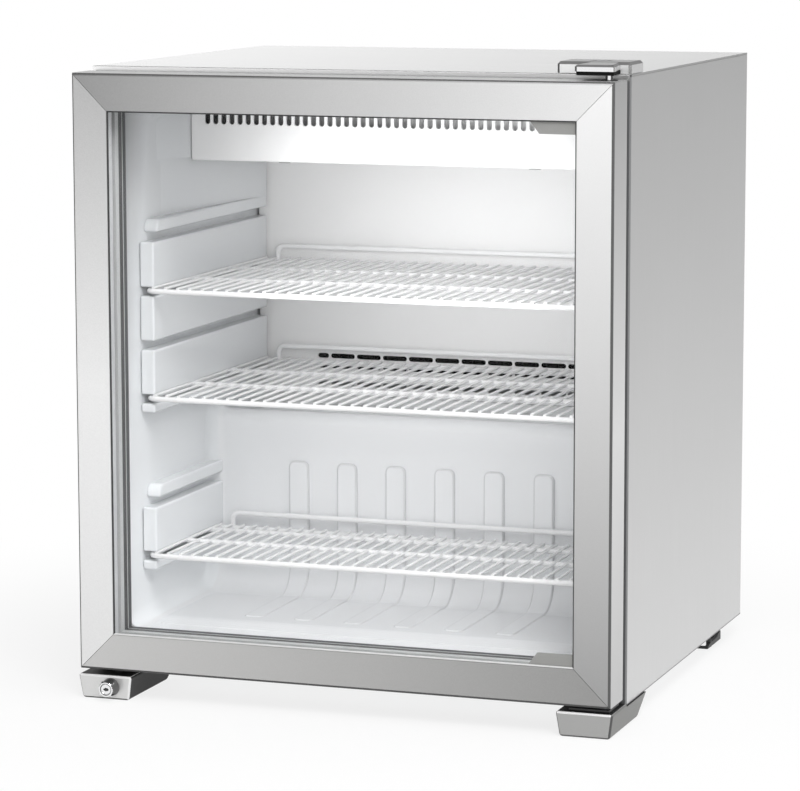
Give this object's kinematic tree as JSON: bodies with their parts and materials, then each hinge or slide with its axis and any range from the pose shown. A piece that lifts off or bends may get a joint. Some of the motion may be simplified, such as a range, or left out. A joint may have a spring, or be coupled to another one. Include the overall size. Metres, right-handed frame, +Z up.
{
  "type": "glass-door countertop freezer",
  "caption": "Free-standing countertop display freezer with a framed glass door on the right, wire shelves, an air cover under the ceiling, a foot lock and a machine room at the lower rear.",
  "frame": {"origin": "on the floor under the middle of the overall width and depth", "axes": "+Z up, -Y out of the door, +X to the right seen from the front, where the door is hinged"},
  "size_m": [0.6, 0.569, 0.6968],
  "materials": {
    "cabinet_steel": "satin",
    "trim_grey": "satin",
    "galvanised": "matte",
    "foam": "matte",
    "liner_white": "satin",
    "white_plastic": "satin",
    "fins": "satin",
    "copper": "satin",
    "black_plastic": "satin",
    "black_paint": "satin",
    "foot_silver": "satin",
    "hinge_chrome": "polished",
    "coated_wire": "gloss",
    "frame_silver": "satin",
    "glass": "gloss",
    "spacer": "satin",
    "bead_grey": "satin",
    "gasket": "matte",
    "light_cover": "satin"
  },
  "bodies": {
    "cabinet": {"side_panel_left": "cabinet_steel", "side_panel_right": "cabinet_steel", "top_panel": "cabinet_steel", "front_trim": "trim_grey", "back_panel": "galvanised", "base_plate": "galvanised", "rear_grille": "galvanised", "insulation_foam": "foam", "inner_liner": "liner_white", "duct_panel": "liner_white", "air_cover": "liner_white", "evaporator_fins": "fins", "evaporator_tube": "copper", "evaporator_fan_motor": "galvanised", "compressor": "black_paint", "relay_box": "black_plastic", "drip_tray": "black_plastic", "condenser_fins": "fins", "fan_shroud": "galvanised", "condenser_fan_motor": "galvanised", "discharge_tube": "copper", "suction_tube": "copper", "filter_drier": "copper", "control_box": "white_plastic", "mains_gland": "black_plastic", "front_foot_left": "foot_silver", "front_foot_right": "foot_silver", "rear_foot_left": "black_plastic", "rear_foot_right": "black_plastic", "top_hinge_bracket": "hinge_chrome", "top_hinge_pin": "hinge_chrome", "bottom_hinge_plate": "black_paint", "bottom_hinge_pin": "hinge_chrome", "lock_housing": "hinge_chrome"},
    "door": {"door_rail_top": "frame_silver", "door_rail_bottom": "frame_silver", "door_stile_left": "frame_silver", "door_stile_right": "frame_silver", "glass_outer": "glass", "glass_inner": "glass", "glass_spacer": "spacer", "door_bead": "bead_grey", "door_gasket": "gasket", "corner_plate_upper": "bead_grey", "corner_plate_lower": "bead_grey", "hinge_bush_upper": "black_plastic", "hinge_bush_lower": "black_plastic", "light_bar": "light_cover"},
    "upper_shelf": {"shelf_upper": "coated_wire"},
    "middle_shelf": {"shelf_middle": "coated_wire"},
    "lower_shelf": {"shelf_lower": "coated_wire"},
    "evaporator_rotor": {"evaporator_fan": "black_plastic"},
    "condenser_rotor": {"condenser_fan": "black_plastic"},
    "knob": {"thermostat_knob": "black_plastic"},
    "rocker": {"lamp_switch": "black_plastic"},
    "plug": {"lock_plug": "hinge_chrome"},
    "bolt": {"lock_bolt": "hinge_chrome"}
  },
  "joints": [
    {"name": "door_hinge", "type": "hinge", "parent": "cabinet", "child": "door", "pos_m": [0.287, -0.2455, 0.033], "axis": [0, 0, 1], "range_deg": [0, 120]},
    {"name": "upper_shelf_slide", "type": "slide", "parent": "cabinet", "child": "upper_shelf", "axis": [0, -1, 0], "range_m": [0, 0.028]},
    {"name": "middle_shelf_slide", "type": "slide", "parent": "cabinet", "child": "middle_shelf", "axis": [0, -1, 0], "range_m": [0, 0.028]},
    {"name": "lower_shelf_slide", "type": "slide", "parent": "cabinet", "child": "lower_shelf", "axis": [0, -1, 0], "range_m": [0, 0.028]},
    {"name": "evaporator_fan_spin", "type": "hinge", "parent": "cabinet", "child": "evaporator_rotor", "pos_m": [0, 0.1595, 0.5975], "axis": [0, 1, 0], "continuous": true},
    {"name": "condenser_fan_spin", "type": "hinge", "parent": "cabinet", "child": "condenser_rotor", "pos_m": [-0.2116, 0.16375, 0.1103], "axis": [1, 0, 0], "continuous": true},
    {"name": "thermostat_turn", "type": "hinge", "parent": "cabinet", "child": "knob", "pos_m": [-0.0483, 0.265, 0.1995], "axis": [0, 1, 0], "range_deg": [0, 270]},
    {"name": "lamp_switch_rock", "type": "hinge", "parent": "cabinet", "child": "rocker", "pos_m": [0.0077, 0.2635, 0.1995], "axis": [-1, 0, 0], "range_deg": [0, 18]},
    {"name": "lock_turn", "type": "hinge", "parent": "cabinet", "child": "plug", "pos_m": [-0.264, -0.2845, 0.0145], "axis": [0, 1, 0], "range_deg": [0, 90]},
    {"name": "bolt_lift", "type": "slide", "parent": "cabinet", "child": "bolt", "axis": [0, 0, 1], "range_m": [0, 0.011]}
  ],
  "couplings": [
    {"joint": "bolt_lift", "follows": "lock_turn", "m_per_rad": 0.007}
  ]
}
